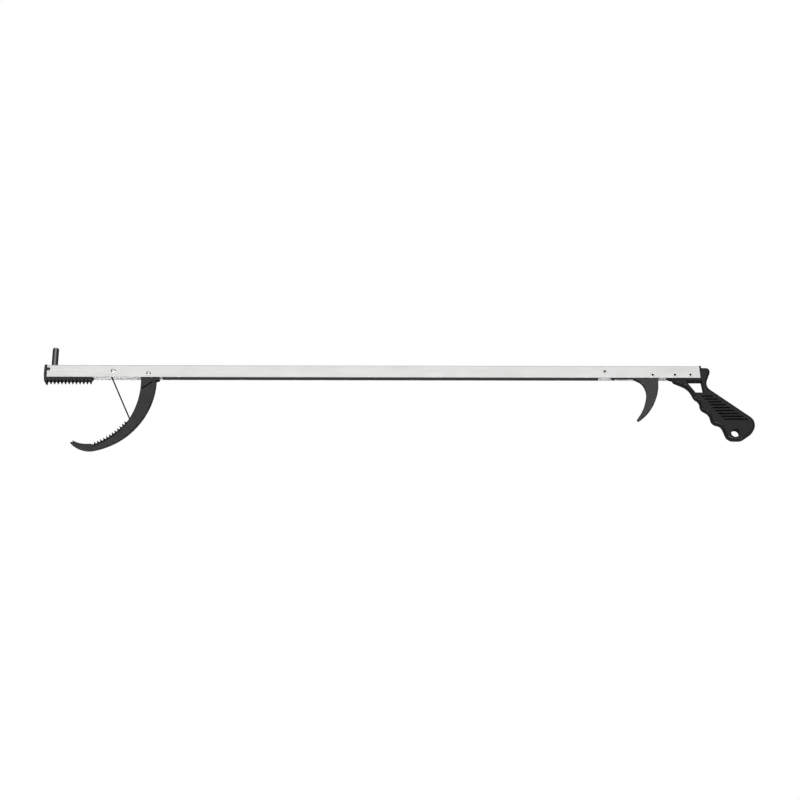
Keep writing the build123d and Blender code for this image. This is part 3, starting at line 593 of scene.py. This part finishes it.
def trigger_cord():
    """The cord from the rear guide down through the trigger's arm, as a mesh fixed in place."""
    low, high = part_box("cord_trigger_run")
    guide = Vector((low.x + GUIDE_INSET[0], 0, high.z - GUIDE_INSET[1]))
    hole = Vector((high.x - CORD_RADIUS, 0, low.z))
    above_hole = hole + Vector((0, 0, STRAIGHT_AT_TRIGGER))
    piece = braided_tube("trigger_cord", [guide, above_hole, hole])
    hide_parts("cord_trigger_run")
    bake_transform(piece)


# ---------------------------------------------------------------- torsion spring
def wire(name, path, thickness):
    """A round wire through the points of a path, as a mesh."""
    curve = bpy.data.curves.new(name, "CURVE")
    curve.dimensions = "3D"
    curve.bevel_depth = thickness / 2
    curve.bevel_resolution = 5
    curve.use_fill_caps = True
    spline = curve.splines.new("POLY")
    spline.points.add(len(path) - 1)
    for point, place in zip(spline.points, path):
        point.co = (*place, 1)
    drawn = in_scene(name + "_curve", curve)
    bpy.context.view_layer.update()
    mesh = bpy.data.meshes.new_from_object(drawn)
    bpy.data.objects.remove(drawn)
    mesh.shade_smooth()
    return in_scene(name, mesh)


def coil_spring():
    """The torsion spring on the jaw's pivot. One leg reaches up to the channel, the other down to the jaw;
    the spring is fixed in place.
    """
    pivot = Vector(JOINTS["jaw_close"]["pos_m"])
    low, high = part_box("jaw_spring")
    half_wire = SPRING_WIRE / 2
    radius = high.x - pivot.x - half_wire
    half_width = (high.y - low.y - SPRING_WIRE) / 2
    whole_turn = SPRING_START + math.tau * SPRING_TURNS
    coil = []
    for step in range(SPRING_STEPS + 1):
        share = step / SPRING_STEPS
        angle = SPRING_START - whole_turn * share
        y = half_width * (2 * share - 1)
        coil.append(pivot + Vector((radius * math.cos(angle), y, radius * math.sin(angle))))
    along_leg = Vector((-math.sin(SPRING_START), 0, math.cos(SPRING_START)))
    fixed_end = coil[0] + along_leg * ((high.z - half_wire - coil[0].z) / along_leg.z)
    jaw_end = Vector((coil[-1].x, coil[-1].y, low.z + half_wire))
    piece = wire("torsion_spring", [fixed_end, *coil, jaw_end], SPRING_WIRE)
    dress(piece, "spring_steel")
    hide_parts("jaw_spring")
    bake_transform(piece)


jaw_cord()
trigger_cord()
coil_spring()


# ---------------------------------------------------------------- floor, light and camera
def floor():
    """A pale round floor that fades out at its rim."""
    corners = [(FLOOR_RADIUS * x, FLOOR_RADIUS * y, 0) for x, y in ((-1, -1), (1, -1), (1, 1), (-1, 1))]
    piece = new_mesh("floor", corners, [(0, 1, 2, 3)])
    piece.location = (OBJECT_CENTRE.x, OBJECT_CENTRE.y, cad_low.z - FLOOR_DROP)
    m = Shader("pale_floor")
    darker, paler = FLOOR_GREYS
    pale = m.ramp(m.noise(FLOOR_CLOUDS, detail=3), grey(darker), grey(paler))
    seen = m.add("ShaderNodeLightPath").outputs["Is Camera Ray"]
    place = m.parts(m.place)
    from_behind = m.math("ABSOLUTE", m.math("ARCTAN2", place["X"], place["Y"]), 0.0)
    shed = m.spread(from_behind, 0.0, FLOOR_SHED, FLOOR_DARK_WEDGE)
    length = m.add("ShaderNodeVectorMath", operation="LENGTH")
    m.link(m.place, length.inputs[0])
    m.steer(
        Base_Color=m.blend(seen, grey(FLOOR_SHEDDING_GREY), pale),
        Emission_Strength=m.math("MAXIMUM", m.math("MULTIPLY", seen, FLOOR_GLOW), shed),
        Alpha=m.spread(length.outputs["Value"], 1.0, 0.0, (FLOOR_FADE_START, FLOOR_RADIUS)),
    )
    m.set(Roughness=0.9, Specular_IOR_Level=0.0, Emission_Color=(1, 1, 1, 1))
    piece.data.materials.append(m.material)


def world():
    """White where the camera sees it. It sheds light from the front and from above."""
    made = bpy.data.worlds.new("studio")
    bpy.context.scene.world = made
    made.use_nodes = True
    g = Graph(made.node_tree)
    direction = g.parts(g.add("ShaderNodeTexCoord").outputs["Generated"])
    ahead = g.spread(direction["Y"], 0.0, WORLD_FRONT, WORLD_FRONT_SPAN, "SMOOTHSTEP")
    over_horizon = g.spread(direction["Z"], 0.0, 1.0, WORLD_HORIZON_SPAN, "SMOOTHSTEP")
    above = g.spread(direction["Z"], 0.0, WORLD_ABOVE, WORLD_ABOVE_SPAN, "SMOOTHSTEP")
    shed = g.add("ShaderNodeBackground")
    shed.inputs["Color"].default_value = WORLD_TINT
    g.link(g.sum(g.math("MULTIPLY", ahead, over_horizon), above, WORLD_ALL_ROUND), shed.inputs["Strength"])
    seen = g.add("ShaderNodeBackground")
    seen.inputs["Color"].default_value = (1, 1, 1, 1)
    mix = g.add("ShaderNodeMixShader")
    g.link(g.add("ShaderNodeLightPath").outputs["Is Camera Ray"], mix.inputs["Fac"])
    g.link(shed.outputs["Background"], mix.inputs[1])
    g.link(seen.outputs["Background"], mix.inputs[2])
    g.link(mix.outputs["Shader"], g.add("ShaderNodeOutputWorld").inputs["Surface"])


def softbox(name, place, size, radiance):
    """A soft rectangular light that faces the middle of the object."""
    light = bpy.data.lights.new(name, "AREA")
    light.shape = "RECTANGLE"
    light.size, light.size_y = size
    light.energy = radiance * math.pi * size[0] * size[1]
    lamp = in_scene(name, light)
    lamp.location = OBJECT_CENTRE + Vector(place)
    lamp.rotation_euler = (OBJECT_CENTRE - lamp.location).to_track_quat("-Z", "Y").to_euler()
    lamp.visible_camera = False


def camera():
    data = bpy.data.cameras.new("camera")
    data.lens = CAMERA_LENS
    data.sensor_width = CAMERA_SENSOR
    data.clip_start, data.clip_end = CAMERA_CLIP
    made = in_scene("camera", data)
    rise = math.radians(CAMERA_ELEVATION)
    away = Vector((0, -math.cos(rise), math.sin(rise)))
    made.location = CAMERA_AIM + away * CAMERA_DISTANCE
    facing = (-away).to_track_quat("-Z", "Y")
    made.rotation_euler = (facing @ Quaternion((0, 0, 1), math.radians(CAMERA_ROLL))).to_euler()
    bpy.context.scene.camera = made


floor()
world()
for softbox_name, (box_place, box_size, box_radiance) in SOFTBOXES.items():
    softbox(softbox_name, box_place, box_size, box_radiance)
camera()
bpy.context.scene.view_settings.view_transform = "Standard"
